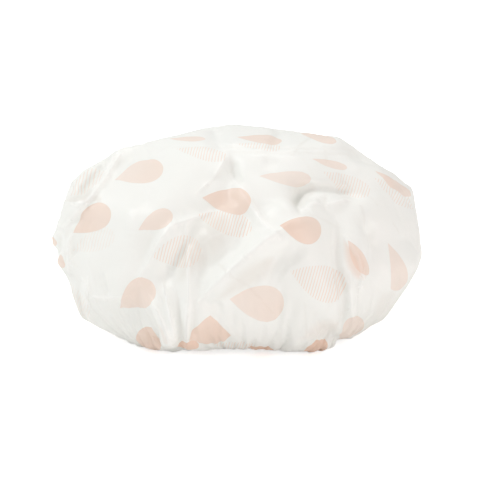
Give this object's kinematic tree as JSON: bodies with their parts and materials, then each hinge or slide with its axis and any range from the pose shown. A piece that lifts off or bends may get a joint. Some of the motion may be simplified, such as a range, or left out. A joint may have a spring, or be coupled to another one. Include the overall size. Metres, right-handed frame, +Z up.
{
  "type": "shower cap",
  "caption": "Puffed shower cap of frosted film printed with pale pink drops, gathered by an elastic band in its sewn hem.",
  "frame": {"origin": "under the middle of the cap's outline, on the surface that its hem stands on", "axes": "+X along the cap's width, -Y to its front, +Z up from the opening to the top of the crown"},
  "size_m": [0.2828, 0.2544, 0.1508],
  "materials": {
    "film": "frosted translucent soft film, printed with pale pink solid and hatched drops",
    "elastic": "woven white elastic",
    "thread": "white polyester sewing thread"
  },
  "bodies": {
    "root": {"film_crown": "film", "film_hem": "film", "elastic_band": "elastic", "needle_thread": "thread", "bobbin_thread": "thread"}
  },
  "joints": []
}
